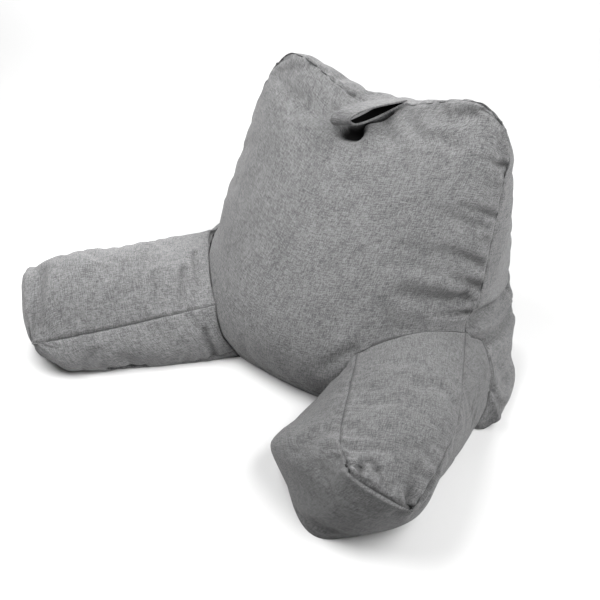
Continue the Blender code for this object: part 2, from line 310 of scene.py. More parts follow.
FOLDS["arm_right"] = table(
    FOLD_COLUMNS,
    # puckers gathered into the seam across the tip
    ("top", 26.5, 98.5, 27.5, 92, 29, 85.7, 4.2, 4.8, 20, 30),
    ("top", 29, 85.7, 36, 80, 44, 83.5, 5.6, 5.2, 20, 28),
    ("top", 44, 83.5, 48, 88, 50, 94, 4.2, 3.6, 20, 15),
    ("top", 31, 92, 34.5, 89, 39, 91, 8.5, -1.6),
    ("top", 36, 97, 38, 95.5, 40, 96.5, 3, 2.5, 0, 20),
    ("top", 68, 98, 66, 94, 64, 89, 3.8, 4.5, 90, 10),
    ("top", 87, 98.5, 79, 92, 71, 77, 8.5, 12, 80, 45),
    ("top", 98.5, 99.5, 96, 98.5, 93, 97, 4.5, 6, 20, 100),
    ("top", 58, 93, 57, 86, 55, 78, 7, 2.8, 90),
    ("top", 98.5, 98, 98.5, 84, 98.5, 60, 2.6, 5, 60, 60),
    ("top", 1, 98.5, 1, 92, 1, 78, 2, 3, 70, 60),
    # ridges of gathered cloth under that seam, and soft folds of the sides and the root
    ("front", 5, 94, 50, 94, 96, 94.5, 2.6, -1.4),
    ("front", 6, 90, 18, 82, 30, 68, 3.4, -1.6, 90),
    ("front", 93, 88, 88, 80, 80, 72, 5, 2, 90),
    ("outer", 72, 97, 86, 96.5, 99, 96, 4, 3.2, 0, 20),
    ("outer", 5, 60, 16, 55, 30, 56, 8, 3, 90),
    ("inner", 2, 70, 12, 64, 24, 62, 8.5, 3.5, 90),
    ("inner", 2, 35, 12, 34, 26, 36, 8.5, 3, 90),
    ("top", 10, 2, 14, 10, 20, 20, 6, 1.8, 90),
)
FOLDS["arm_left"] = table(
    FOLD_COLUMNS,
    # soft folds where the arm leaves the backrest
    ("top", 42, 25, 28, 27, 10, 29, 5.2, 5.2, 60, 14),
    ("top", 54, 17, 38, 16.5, 26, 16, 5.2, 4.4, 50, 12),
    ("top", 40, 38, 28, 38.5, 14, 39, 6, 4.6, 60, 10),
    ("top", 92, 4, 80, 5, 64, 2, 4, 4.5, 30, 50),
    ("inner", 19, 62, 22, 42, 26, 24, 6.5, 5.5, 0, 25),
    ("inner", 26, 92, 25, 80, 23, 68, 6, 3, 40, 5),
    ("inner", 2, 28, 22, 22, 44, 10, 2, 1.8, 20, 30),
    ("inner", 71, 24, 65, 22, 58, 17, 3.4, 6, 30, 60),
    # soft folds of the tip
    ("top", 56, 81, 32, 86, 10, 92, 11, 6.5, 40, 10),
    ("top", 6, 93, 40, 96.5, 90, 94, 10, -4.5, 70),
    ("outer", 5, 60, 16, 55, 30, 56, 8, 3, 90),
)


# ---- settings


def maker(kind, **limits):
    """Makes settings of one kind, each from its name, its description and its default."""

    def setting(name, description, default):
        return kind(name=name, description=description, default=default, **limits)

    return setting


length = maker(FloatProperty, min=0.0, unit="LENGTH", precision=4)
share = maker(FloatProperty, min=0.0, max=1.0, subtype="FACTOR")
number = maker(FloatProperty, min=0.0)
count = maker(IntProperty, min=1)
colour = maker(FloatVectorProperty, min=0.0, max=1.0, size=3, subtype="COLOR")


class ClothSettings(bpy.types.PropertyGroup):
    light_yarn: colour("Light yarn", "Colour of the pale fibres", (0.173, 0.173, 0.1745))
    dark_yarn: colour("Dark yarn", "Colour of the dark fibres", (0.049, 0.049, 0.050))
    yarn_width: length("Yarn width", "From one yarn to the next", 0.0008)
    slub_length: length("Slub length", "Length of a pale stretch of yarn", 0.007)
    roughness: share("Roughness", "How matt the cloth is", 0.9)
    sheen: share("Sheen", "Soft light from loose fibres", 0.15)


class SewingSettings(bpy.types.PropertyGroup):
    seam_depth: length("Seam depth", "How far a seam is drawn in", 0.0026)
    seam_width: length("Seam width", "Half width of the valley along a seam", 0.0032)
    pucker_height: length("Pucker height", "Height of the puckers beside a seam", 0.0008)
    pucker_spacing: length("Pucker spacing", "Usual distance between puckers", 0.013)
    pucker_reach: length("Pucker reach", "How far puckers run out from a seam", 0.013)
    sewn_gap: length("Sewn gap", "Space between cushions that are sewn together", 0.0006)


class FillingSettings(bpy.types.PropertyGroup):
    fill: share("Fill", "How tightly the cushions are stuffed", 0.7)
    pressure: number("Pressure", "Push of the filling", 4.0)
    slack: share("Slack", "How much the cloth can stretch out", 0.03)
    hold: share("Hold", "How firmly the cloth is kept in place", 0.03)
    lump_size: length("Lump size", "Usual size of the unevenness of the filling", 0.045)
    lump_height: length("Lump height", "Height of the unevenness", 0.0012)
    steps: count("Steps", "Frames of the simulation", 20)
    movement: length("Most movement", "The furthest that stuffing moves the cloth", 0.006)


class LoopSettings(bpy.types.PropertyGroup):
    width: length("Strap width", "Width of the strap", 0.035)
    thickness: length("Strap thickness", "Thickness of the folded strap", 0.003)
    stitch_inset: length("Stitch inset", "From the strap's edge to its stitching", 0.0035)


class StudioSettings(bpy.types.PropertyGroup):
    floor: colour("Floor", "Colour of the floor", (0.54, 0.54, 0.54))
    azimuth: number("Azimuth", "Camera turn from the front, in degrees", 36.0)
    elevation: number("Elevation", "Camera height, in degrees", 40.0)
    distance: length("Distance", "From the camera to the middle of the view", 1.5)
    lens: number("Lens", "Focal length in millimetres", 50.0)
    power: number("Power", "Watts of a lamp of strength 1", 200.0)
    surround: number("Surround", "Brightness of the surroundings", 0.01)


class PillowSettings(bpy.types.PropertyGroup):
    cloth: PointerProperty(type=ClothSettings)
    sewing: PointerProperty(type=SewingSettings)
    filling: PointerProperty(type=FillingSettings)
    loop: PointerProperty(type=LoopSettings)
    studio: PointerProperty(type=StudioSettings)


# ---- materials


def operator(operation, reflected=False):
    """An operator of Wire: it adds a Math node for the two values."""

    def added(self, other):
        return self.math(operation, *((other, self) if reflected else (self, other)))

    return added


class Wire:
    """A node's output that takes part in Python expressions, each of which adds a Math node."""

    __add__, __radd__ = operator("ADD"), operator("ADD", reflected=True)
    __sub__, __rsub__ = operator("SUBTRACT"), operator("SUBTRACT", reflected=True)
    __mul__, __rmul__ = operator("MULTIPLY"), operator("MULTIPLY", reflected=True)
    __truediv__, __rtruediv__ = operator("DIVIDE"), operator("DIVIDE", reflected=True)
    __mod__, __rmod__ = operator("FLOORED_MODULO"), operator("FLOORED_MODULO", reflected=True)

    def __init__(self, tree, socket=None):
        self.tree = tree
        self.socket = socket

    def add(self, kind, settings=None, inputs=None, out=0):
        """A new node of any kind: its settings first, then the values or wires of its sockets."""
        node = self.tree.nodes.new(f"ShaderNode{kind}")
        for name, value in (settings or {}).items():
            setattr(node, name, value)
        for name, value in (inputs or {}).items():
            if isinstance(value, Wire):
                self.tree.links.new(value.socket, node.inputs[name])
            else:
                node.inputs[name].default_value = value
        return Wire(self.tree, node.outputs[out]) if len(node.outputs) else None

    def output(self, number):
        return Wire(self.tree, self.socket.node.outputs[number])

    def math(self, operation, *values):
        return self.add("Math", {"operation": operation}, dict(enumerate(values)))

    def floor(self):
        return self.math("FLOOR", self)

    def clear(self, low, high):
        """0 below low, 1 above high and smooth between."""
        limits = {"Value": self, "From Min": low, "From Max": high}
        return self.add("MapRange", {"interpolation_type": "SMOOTHSTEP"}, limits)

    def shade(self, first, second):
        """From one colour where this is 0 to another where it is 1."""
        return self.add("Mix", {"data_type": "RGBA"}, {0: self, 6: first, 7: second}, out=2)


def grain(start, x, y, detail=0.0):
    """Smooth noise over a plane, from about 0.2 to 0.8."""
    place = start.add("CombineXYZ", None, {0: x, 1: y})
    inputs = {"Vector": place, "Scale": 1.0, "Detail": detail}
    return start.add("TexNoise", {"noise_dimensions": "2D"}, inputs)


def new_material(name):
    """A material without nodes, and the wire that adds its first ones."""
    material = bpy.data.materials.new(name)
    material.use_nodes = True
    material.node_tree.nodes.clear()
    return material, Wire(material.node_tree)


def woven_cloth(name, cloth, painted_light_scale=1.0):
    """Plain weave of mottled yarns. Every yarn runs dark and pale by turns along its length."""
    yarns = (cloth.dark_yarn, cloth.light_yarn)
    # Painted light and shade: the yarn colours of a whole piece are scaled paler or darker.
    dark, light = (tuple(painted_light_scale * value for value in yarn) + (1.0,) for yarn in yarns)
    material, start = new_material(name)
    place = start.add("UVMap", {"uv_map": WEAVE_MAP})
    split = start.add("SeparateXYZ", None, {0: place})
    u, v = split.output(0), split.output(1)
    warp, weft = u / cloth.yarn_width, v / cloth.yarn_width
    warp_tone = grain(start, warp.floor() * YARN_APART, v / cloth.slub_length)
    weft_tone = grain(start, u / cloth.slub_length, weft.floor() * YARN_APART + ELSEWHERE[0])
    over = (warp.floor() + weft.floor()) % 2.0
    yarn = warp_tone + (weft_tone - warp_tone) * over
    mottle = grain(start, u / MOTTLE_SIZE, v / MOTTLE_SIZE, detail=2.0)
    wide, long = STREAK_SIZE
    long_warp = grain(start, u / wide + ELSEWHERE[1], v / long)
    long_weft = grain(start, u / long, v / wide + ELSEWHERE[2])
    drift = grain(start, u / DRIFT_SIZE, v / DRIFT_SIZE, detail=2.0)
    streak = long_warp + long_weft - 1.0
    tone = (yarn - 0.5) * YARN_TONE + (mottle - 0.5) * MOTTLE_TONE + streak * STREAK_TONE
    tone += (drift - 0.5) * DRIFT_TONE + MIDDLE_TONE

    gap = start.add("Attribute", {"attribute_name": SEAM_GAP}, out=2)
    painted_shade_mask = start.add("Attribute", {"attribute_name": PAINTED_SHADE}, out=2)
    clean = tone.clear(0.0, 1.0).shade(dark, light)
    # Painted shade: a dark line along each seam.
    shown = gap.clear(*SEAM_LINE).shade(SEAM_SHADE_COLOUR, clean)

    warp_arch, weft_arch = (start.math("SINE", way % 1.0 * np.pi) for way in (warp, weft))
    height = warp_arch + (weft_arch - warp_arch) * over + (yarn + mottle) * YARN_RELIEF
    relief = {"Strength": RELIEF_STRENGTH, "Distance": RELIEF_DEPTH, "Height": height}
    looks = {
        "Base Color": shown, "Roughness": cloth.roughness, "Sheen Weight": cloth.sheen,
        "Sheen Roughness": SHEEN_ROUGHNESS, "Specular IOR Level": SPECULAR,
        "Normal": start.add("Bump", None, relief),
    }
    shader = start.add("BsdfPrincipled", None, looks)
    # Painted shade: where the painted shade attribute is set, the cloth turns towards unlit black.
    unlit = {"Base Color": UNLIT_COLOUR, "Roughness": 1.0, "Specular IOR Level": 0.0}
    black = start.add("BsdfPrincipled", None, unlit)
    mixed = start.add("MixShader", None, {0: painted_shade_mask, 1: shader, 2: black})
    start.add("OutputMaterial", None, {"Surface": mixed})
    return material


def plain_floor(name, tint):
    """Matt paint with a hardly visible unevenness."""
    material, start = new_material(name)
    place = start.add("TexCoord", out=3)
    soft = start.add("TexNoise", None, {"Vector": place, "Scale": 2.0})
    pale = soft.shade((*tint, 1.0), tuple(0.99 * value for value in tint) + (1.0,))
    shader = start.add("BsdfPrincipled", None, {"Base Color": pale, "Roughness": 0.9})
    start.add("OutputMaterial", None, {"Surface": shader})
    return material


# ---- skins


def hermite(start, leave, end, arrive, part):
    """A smooth way from start to end that leaves and arrives at the given slopes."""
    square, cube = part ** 2, part ** 3
    return (
        (2 * cube - 3 * square + 1) * start
        + (cube - 2 * square + part) * leave
        + (3 * square - 2 * cube) * end
        + (cube - square) * arrive
    )


def curve(rows, key, name, at):
    """A column's values at places between the rows, along a smooth curve through them."""
    places, values = (np.array([row[column] for row in rows], float) for column in (key, name))
    steps = np.diff(values) / np.diff(places)
    inner = (values[2:] - values[:-2]) / (places[2:] - places[:-2])
    slopes = np.concatenate((steps[:1], inner, steps[-1:]))
    low = np.clip(np.searchsorted(places, at) - 1, 0, len(rows) - 2)
    width = np.diff(places)[low]
    part = (at - places[low]) / width
    return hermite(values[low], slopes[low] * width, values[low + 1], slopes[low + 1] * width, part)


def smooth(part):
    """From 0 to 1 without a corner at either end."""
    part = np.clip(part, 0.0, 1.0)
    return part * part * (3 - 2 * part)


def bulge(part):
    """0 at both seams of a panel and 1 in its middle, steeper at the seams than a sine."""
    return np.sin(np.pi * np.clip(part, 0.0, 1.0)) ** PANEL_FULLNESS


def towards(start, end, part):
    return start + (end - start) * part[:, None]


def backrest_points(shares):
    across, up, through = shares.T
    side = 2 * across - 1
    half = np.abs(side)
    row = {name: curve(BACK_ROWS, "rise", name, up) for name in BACK_ROWS[0]}
    top = {name: curve(TOP_ROWS, "across", name, side) for name in TOP_ROWS[0]}
    ahead = (row["centre_y"] - row["side_y"]) * (1 - half ** row["fall"])
    front = np.column_stack((row["side_x"] * side, row["side_y"] + ahead, top["front"] * up))
    behind = row["rear_y"] + row["crown"] * (1 - side ** 2)
    rear = np.column_stack((row["rear_x"] * side, behind, top["rear"] * up))
    points = towards(front, rear, through)
    points[:, 0] += np.sign(side) * row["swell"] * bulge(through) * half ** BESIDE_BACK_SEAM
    points[:, 2] += top["swell"] * bulge(through) * up ** BESIDE_BACK_SEAM
    return points


def arm_points(name, shares):
    across, along, up = shares.T
    rows = ARM_ROWS[name]
    at = ARM_TAIL + (1 - ARM_TAIL) * along
    row = {column: curve(rows, "along", column, at) for column in rows[0]}
    flat = np.zeros(len(at))
    inner, outer, foot_in, foot_out = (
        np.column_stack([row.get(f"{edge}_{way}", flat) for way in "xyz"])
        for edge in ("inner", "outer", "foot_in", "foot_out")
    )
    points = towards(towards(foot_in, foot_out, across), towards(inner, outer, across), up)

    outward = outer - inner
    outward /= np.linalg.norm(outward, axis=1)[:, None]
    turn = np.sign(outer[:, 0])
    forward = np.column_stack((outward[:, 1] * turn, -outward[:, 0] * turn, flat))
    begun = np.clip(1 + at / OUT_BEGINS, 0.0, 1.0)
    points += outward * (row["out"] * begun * bulge(up) * across ** BESIDE_ARM_SEAM)[:, None]
    points -= outward * (row["in"] * bulge(up) * (1 - across) ** BESIDE_ARM_SEAM)[:, None]
    tip = along ** BESIDE_ARM_TIP
    crown = row["top"] * (1 - (1 - TIP_CROWN) * tip)
    points[:, 2] += crown * bulge(across) * up ** BESIDE_ARM_SEAM
    low = 1 - up ** DOWN_ARM_FRONT
    square = FRONT_SQUARENESS + (1 - FRONT_SQUARENESS) * bulge(across ** FRONT_LEAN) ** 2
    ahead = ARM_FRONTS[name]["foot"] * low * square + ARM_FRONTS[name]["lip"] * (1 - low) * bulge(across)
    return points + forward * (tip * ahead)[:, None]


class Skin:
    """The corners and squares on the outside of a box of squares, whatever shape it is given."""

    def __init__(self, squares):
        self.squares = squares
        inside = np.zeros([n + 1 for n in squares], bool)
        inside[1:-1, 1:-1, 1:-1] = True
        self.number = np.full(inside.shape, -1)
        self.number[~inside] = np.arange(np.count_nonzero(~inside))
        self.counts = np.argwhere(~inside)
        self.shares = self.counts / np.array(squares)

    def sheet(self, axis, far):
        """The numbers of the corners on one side, in a grid."""
        return self.number.take(-far, axis)

    def faces(self, points):
        """The squares of every side, facing out of the shape that the points give, and their sides."""
        found = []
        for axis, far in BOX_SIDES:
            sheet = self.sheet(axis, far)
            quads = np.stack((sheet[:-1, :-1], sheet[1:, :-1], sheet[1:, 1:], sheet[:-1, 1:]), -1)
            quads = quads.reshape(-1, 4)
            found.append(quads if (far == 1) != (axis == 1) else quads[:, ::-1])
        sides = np.repeat(np.arange(len(found)), [len(quads) for quads in found])
        quads = np.concatenate(found)
        a, b, c, d = (points[quads[:, n]] for n in range(4))
        volume = (a * (np.cross(b, c) + np.cross(c, d))).sum()
        return (quads if volume > 0 else quads[:, ::-1]), sides

    def neighbours(self):
        """Four neighbours of every corner; a corner of the whole box repeats one."""
        padded = np.pad(self.number, 1, constant_values=-1)
        steps = np.concatenate((np.eye(3, dtype=int), -np.eye(3, dtype=int)))
        around = [padded[tuple((self.counts + 1 + step).T)] for step in steps]
        around = np.sort(np.stack(around, -1), axis=1)[:, ::-1][:, :4]
        return np.where(around < 0, around[:, :1], around)

    def run(self, *corners):
        """The corner numbers along straight runs from one corner to the next, in shares."""
        numbers = []
        for start, end in zip(corners, corners[1:]):
            start, end = np.array((start, end)) * self.squares
            steps = np.abs(end - start).max()
            places = (start + (end - start) * step // steps for step in range(steps + 1))
            numbers += [self.number[tuple(place)] for place in places]
        return list(dict.fromkeys(numbers))


def eased(skin, points, fixed, rounds):
    """Rounds off a skin between its seams; what is fixed stays where it is."""
    around = skin.neighbours()
    for _ in range(rounds):
        middle = points[around].mean(axis=1)
        points = np.where(fixed[:, None], points, (points + middle) / 2)
    return points


def outward_normals(points, quads):
    first = points[quads[:, 2]] - points[quads[:, 0]]
    second = points[quads[:, 3]] - points[quads[:, 1]]
    normals = np.zeros_like(points)
    for corner in range(4):
        np.add.at(normals, quads[:, corner], np.cross(first, second))
    return normals / np.maximum(np.linalg.norm(normals, axis=1), 1e-12)[:, None]


def raised(points, quads, lift):
    """Moves the points of a skin out by their lifts, but for those of its flat underside."""
    lift = np.where(points[:, 2] > FLAT_BELOW, lift, 0.0)
    return points + outward_normals(points, quads) * lift[:, None]


def between_rows(values, at):
    """Rows of a grid read at fractional row numbers, along smooth curves."""
    last = len(values) - 1
    row = np.clip(np.floor(at).astype(int), 0, last - 1)
    shape = (-1,) + (1,) * (values.ndim - 1)
    part, at_start, at_end = (each.reshape(shape) for each in (at - row, row == 0, row == last - 1))
    start, end = values[row], values[row + 1]
    before, after = values[np.maximum(row - 1, 0)], values[np.minimum(row + 2, last)]
    leave = np.where(at_start, end - start, (end - before) / 2)
    arrive = np.where(at_end, end - start, (after - start) / 2)
    return hermite(start, leave, end, arrive, part)


def between_both(grid, first, second):
    """A grid read at fractional places in both directions."""
    grid = between_rows(grid, first).transpose(1, 0, 2)
    return between_rows(grid, second).transpose(1, 0, 2)


def crowded(squares):
    """Places from 0 to 1 that lie closer together at both ends."""
    even = np.linspace(0.0, 1.0, squares + 1)
    return even - CROWDING * np.sin(2 * np.pi * even) / (2 * np.pi)


def crowded_places(skin, finer):
    """For each direction, where the rows of a finer skin lie among the squares of another."""
    return [crowded(new) * old for new, old in zip(finer.squares, skin.squares)]


def refined(skin, points, finer):
    """A skin's points read again on a finer skin whose squares crowd towards the seams."""
    places = crowded_places(skin, finer)
    result = np.zeros((len(finer.counts), 3))
    for axis, far in BOX_SIDES:
        first, second = (places[other] for other in range(3) if other != axis)
        result[finer.sheet(axis, far)] = between_both(points[skin.sheet(axis, far)], first, second)
    return result


def flat_lengths(grid):
    """How far each point of a grid lies from its middle lines, measured along the cloth."""
    lengths = []
    for axis in (0, 1):
        steps = np.linalg.norm(np.diff(grid, axis=axis), axis=-1)
        run = np.cumsum(steps, axis=axis)
        run = np.concatenate((np.zeros_like(run.take([0], axis)), run), axis=axis)
        lengths.append(run - run.take([grid.shape[axis] // 2], axis))
    return np.stack(lengths, -1)


# ---- stuffing and sewing


def add_object(name, data):
    item = bpy.data.objects.new(name, data)
    bpy.context.scene.collection.objects.link(item)
    return item


def add_mesh(name, points, faces):
    mesh = bpy.data.meshes.new(name)
    mesh.from_pydata(points, [], faces)
    return add_object(name, mesh)


def stuffed(skin, points, held, filling):
    """Lets the filling push the cloth, held at its seams, and returns where the cloth settles."""
    quads = skin.faces(points)[0]
    body = add_mesh("stuffing", points.tolist(), quads.tolist())
    hold = np.where(held, 1.0, filling.hold)
    group = body.vertex_groups.new(name="held")
    for level in np.unique(hold):
        group.add(np.flatnonzero(hold == level).tolist(), float(level), "REPLACE")
    cloth = body.modifiers.new("stuffing", "CLOTH")
    for name, value in STUFFING.items():
        setattr(cloth.settings, name, value)
    cloth.settings.uniform_pressure_force = filling.pressure
    cloth.settings.shrink_min = -filling.slack
    cloth.settings.effector_weights.gravity = 0.0
    cloth.point_cache.frame_start = 1
    cloth.point_cache.frame_end = filling.steps
    scene = bpy.context.scene
    for step in range(1, filling.steps + 1):
        scene.frame_set(step)
    settled = body.evaluated_get(bpy.context.evaluated_depsgraph_get()).data
    moved = np.zeros(len(points) * 3, np.float32)
    settled.vertices.foreach_get("co", moved)
    bpy.data.meshes.remove(body.data)
    scene.frame_set(1)
    shift = moved.reshape(-1, 3).astype(float) - points
    far = np.linalg.norm(shift, axis=1)
    shift *= np.minimum(1.0, filling.movement / np.maximum(far, 1e-9))[:, None]
    return points + shift


def nearest(samples, points):
    """For every point, which sample is nearest and how far away it is."""
    tree = KDTree(len(samples))
    for index, sample in enumerate(samples):
        tree.insert(sample, index)
    tree.balance()
    found = [tree.find(point) for point in points]
    return np.array([hit[1] for hit in found], int), np.array([hit[2] for hit in found])


def run_along(line):
    """How far along a line each of its points lies."""
    return np.concatenate(([0.0], np.cumsum(np.linalg.norm(np.diff(line, axis=0), axis=1))))


def near_seams(points, seams):
    """For every point: its distance to the nearest seam, that seam, and how far along it."""
    samples, owners, runs = [], [], []
    for index, seam in enumerate(seams):
        line = points[seam]
        run = run_along(line)
        at = np.arange(0.0, run[-1], SEAM_STEP)
        samples.append(np.column_stack([np.interp(at, run, line[:, axis]) for axis in range(3)]))
        owners.append(np.full(len(at), index))
        runs.append(at)
    index, gap = nearest(np.concatenate(samples), points)
    return gap, np.concatenate(owners)[index], np.concatenate(runs)[index]


def ripple(rng, run, spacing):
    """Uneven small waves along a seam, from -1 to 1."""
    count = int((run.max() + 4 * spacing) / (PUCKER_SPACING[0] * spacing)) + 4
    knots = np.cumsum(rng.uniform(*PUCKER_SPACING, count) * spacing) - spacing
    heights = rng.uniform(*PUCKER_HEIGHT, count) * np.where(np.arange(count) % 2, 1.0, -1.0)
    low = np.clip(np.searchsorted(knots, run) - 1, 0, count - 2)
    part = (run - knots[low]) / (knots[low + 1] - knots[low])
    return heights[low] + (heights[low + 1] - heights[low]) * smooth(part)


def sewn(points, quads, seams, sewing, seed):
    """Draws the seams in and puckers the cloth beside them. Also returns the distance to a seam."""
    gap, owner, run = near_seams(points, seams)
    rng = np.random.default_rng(seed)
    waves = np.zeros(len(points))
    for index in range(len(seams)):
        mine = owner == index
        waves[mine] = ripple(rng, run[mine], sewing.pucker_spacing)
    valley = np.exp(-((gap / sewing.seam_width) ** 2))
    shoulder = gap / sewing.pucker_reach * np.exp(1 - gap / sewing.pucker_reach)
    reach = (1 - valley) * np.exp(-gap / sewing.pucker_reach)
    pucker = sewing.pucker_height * (waves * reach + SEAM_SHOULDER * shoulder)
    points = raised(points, quads, pucker - sewing.seam_depth * valley)
    points[:, 2] = np.maximum(points[:, 2], 0.0)
    return points, np.minimum(gap, FAR_FROM_SEAM)


def add_cloth(name, points, faces, weave, gap, painted_shade_mask, material):
    """The object of a piece of cloth, with the flat place of each corner of its faces."""
    piece = add_mesh(name, points.tolist(), faces)
    mesh = piece.data
    layer = mesh.uv_layers.new(name=WEAVE_MAP)
    layer.uv.foreach_set("vector", weave.reshape(-1).astype(np.float32))
    for attribute, values in ((SEAM_GAP, gap), (PAINTED_SHADE, painted_shade_mask)):
        data = mesh.attributes.new(attribute, "FLOAT", "POINT").data
        data.foreach_set("value", values.astype(np.float32))
    mesh.shade_smooth()
    mesh.materials.append(material)
    return piece


def add_cushion(name, skin, points, seams, still, sides, seed, painted_light_scale=1.0):
    pillow = bpy.context.scene.reading_pillow
    points = eased(skin, points, still, FINISHED_EASE)
    quads, owners = skin.faces(points)
    points = lumpy(points, quads, pillow.filling)
    points, painted_shade_mask = folded(skin, points, quads, sides, FOLDS[name], seams)
    points, gap = sewn(points, quads, seams, pillow.sewing, seed)
    weave = np.zeros((len(quads), 4, 2))
    for side, (axis, far) in enumerate(BOX_SIDES):
        sheet = skin.sheet(axis, far)
        flat = np.zeros((len(points), 2))
        flat[sheet] = flat_lengths(points[sheet])
        mine = owners == side
        weave[mine] = flat[quads[mine]] + np.array((axis, far)) * PANELS_APART
    cloth = woven_cloth(f"{name}_cloth", pillow.cloth, painted_light_scale)
    piece = add_cloth(f"{name}_cushion", points, quads.tolist(), weave, gap, painted_shade_mask, cloth)
    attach(piece, "root")
    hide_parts(name)


def foot():
    """Where the middle of the backrest's front edge stands, from the frame."""
    low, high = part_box("backrest")
    return np.array(((low.x + high.x) / 2, high.y - FOOT_TO_REAR, 0.0))


def still_points(points, seams):
    """Which points stay where they are: those of the seams and of the flat underside."""
    still = points[:, 2] <= FLAT_BELOW
    still[np.concatenate(seams)] = True
    return still


def backrest_seams(skin):
    """The seams round the front panel and round the back panel."""
    return [skin.run((0, 0, end), (0, 1, end), (1, 1, end), (1, 0, end)) for end in (0, 1)]


def arm_seams(skin):
    """The seam round the top panel and the one to the backrest."""
    return [
        skin.run((0, 0, 1), (0, 1, 1), (1, 1, 1), (1, 0, 1)),
        skin.run((0, 0, 0), (0, 0, 1), (1, 0, 1), (1, 0, 0)),
    ]


def fold_line(grid, fold):
    """Close places along a fold that bends smoothly through its three, and how far along each is."""
    part = np.linspace(0.0, 1.0, FOLD_STEPS)
    last = np.array(grid.shape[:2]) - 1
    start, bend, end = (np.array((fold[f"a{n}"], fold[f"b{n}"])) / 100 * last for n in (1, 2, 3))
    turn = 2 * bend - (start + end) / 2
    weights = ((1 - part) ** 2, 2 * part * (1 - part), part ** 2)
    places = sum(weight[:, None] * place for weight, place in zip(weights, (start, turn, end)))
    places = np.clip(places, 0, last)
    low = np.minimum(np.floor(places).astype(int), last - 1)
    a, b = (places - low).T[..., None]
    i, j = low.T
    near = grid[i, j] * (1 - b) + grid[i, j + 1] * b
    far = grid[i + 1, j] * (1 - b) + grid[i + 1, j + 1] * b
    return near * (1 - a) + far * a, part


def folded(skin, points, quads, sides, folds, seams):
    """Presses in the main folds or raises ridges, and gives each point's painted shade, for how little
    light reaches it.
    """
    lift, dark = np.zeros((2, len(points)))
    for fold in folds:
        width, depth = fold["width"] / 1000, fold["depth"] / 1000
        sheet = skin.sheet(*sides[fold["side"]])
        line, part = fold_line(points[sheet], fold)
        apart = np.linalg.norm(points[sheet][:, :, None] - line[::4], axis=3).min(axis=2)
        near = sheet[apart < FOLD_REACH * width]
        index, away = nearest(line, points[near])
        away /= width
        strength = 1 - fold["fade"] / 100 * part[index] ** FOLD_FADING
        trough = np.exp(-(away ** 2)) - FOLD_SHOULDER * np.exp(-((away - FOLD_SHOULDER_AT) ** 2))
        lift[near] -= depth * strength * trough
        # painted shade at the bottom of the fold, darkest on its line
        dark[near] = np.maximum(dark[near], fold["dark"] / 100 * strength * np.exp(-(away ** 4)))
    clear = smooth(near_seams(points, seams)[0] / FOLD_CLEAR_OF_SEAM)
    return raised(points, quads, lift * (FOLD_AT_SEAM + (1 - FOLD_AT_SEAM) * clear)), dark


def lumpy(points, quads, filling):
    """The slight unevenness of a stuffed surface."""
    rise = np.array([noise.noise(Vector(point) / filling.lump_size) for point in points])
    return raised(points, quads, rise * filling.lump_height)


class PILLOW_OT_backrest(bpy.types.Operator):
    """Build the stuffed backrest with its notched top edge"""

    bl_idname = "reading_pillow.backrest"
    bl_label = "Backrest"

    def execute(self, context):
        filling = context.scene.reading_pillow.filling
        rough, fine = Skin(BACK_SHAPED), Skin(BACK_FINISHED)
        points = backrest_points(rough.shares) + foot()
        held = still_points(points, backrest_seams(rough))
        points = eased(rough, points, held, BACK_EASE)
        points = stuffed(rough, points, held, filling)
        points = refined(rough, points, fine)
        seams = backrest_seams(fine)
        add_cushion("backrest", fine, points, seams, still_points(points, seams), BACK_SIDES, seed=11)
        return {"FINISHED"}


def depth_in(tree, points):
    """How far points lie outside a cushion; negative inside it."""
    depths = np.zeros(len(points))
    for index, point in enumerate(points):
        near, normal, _, distance = tree.find_nearest(Vector(point))
        within = (Vector(point) - near).dot(normal) < -FLAT_BELOW
        depths[index] = -distance if within else distance
    return depths


def trimmed(skin, points, finer, tree, gap):
    """An arm's skin cut where it meets the backrest and read again on a finer skin."""
    outside = depth_in(tree, points) - gap
    rows = skin.squares[1]
    starts = np.full(skin.number[:, 0].shape, np.nan)
    for i, k in np.argwhere(skin.number[:, 1] >= 0):
        run = outside[skin.number[i, :, k]]
        inside = np.flatnonzero(run[: rows // 2] < 0)
        row = inside.max() if len(inside) else 0
        starts[i, k] = row + run[row] / (run[row] - run[row + 1])
    places = crowded_places(skin, finer)
    along = crowded(finer.squares[1])
    result = np.zeros((len(finer.counts), 3))
    for axis, far in ((0, 0), (0, 1), (2, 0), (2, 1)):
        grid = points[skin.sheet(axis, far)]
        if axis == 0:
            grid = grid.transpose(1, 0, 2)  # so that each of its rows runs along the arm
        cut = zip(grid, starts.take(-far, axis // 2))
        grid = np.stack([between_rows(run, start + (rows - start) * along) for run, start in cut])
        grid = between_rows(grid, places[2 - axis])
        result[finer.sheet(axis, far)] = grid.transpose(1, 0, 2) if axis == 0 else grid
    result[finer.sheet(1, 1)] = between_both(points[skin.sheet(1, 1)], places[0], places[2])
    result[finer.sheet(1, 0)] = root_cap(result[finer.sheet(1, 0)], tree, gap)
    return result


def root_cap(grid, tree, gap):
    """Fills a grid between its edges and lays it on the backrest."""
    rows, columns = grid.shape[:2]
    a = np.linspace(0, 1, rows)[:, None, None]
    b = np.linspace(0, 1, columns)[None, :, None]
    filled = (
        (1 - a) * grid[:1] + a * grid[-1:] + (1 - b) * grid[:, :1] + b * grid[:, -1:]
        - (1 - a) * (1 - b) * grid[0, 0] - a * (1 - b) * grid[-1, 0]
        - (1 - a) * b * grid[0, -1] - a * b * grid[-1, -1]
    )
    for i in range(1, rows - 1):
        for j in range(1, columns - 1):
            near, normal, _, _ = tree.find_nearest(Vector(filled[i, j]))
            filled[i, j] = near + normal * gap
    filled[..., 2] = np.maximum(filled[..., 2], 0.0)
    return filled


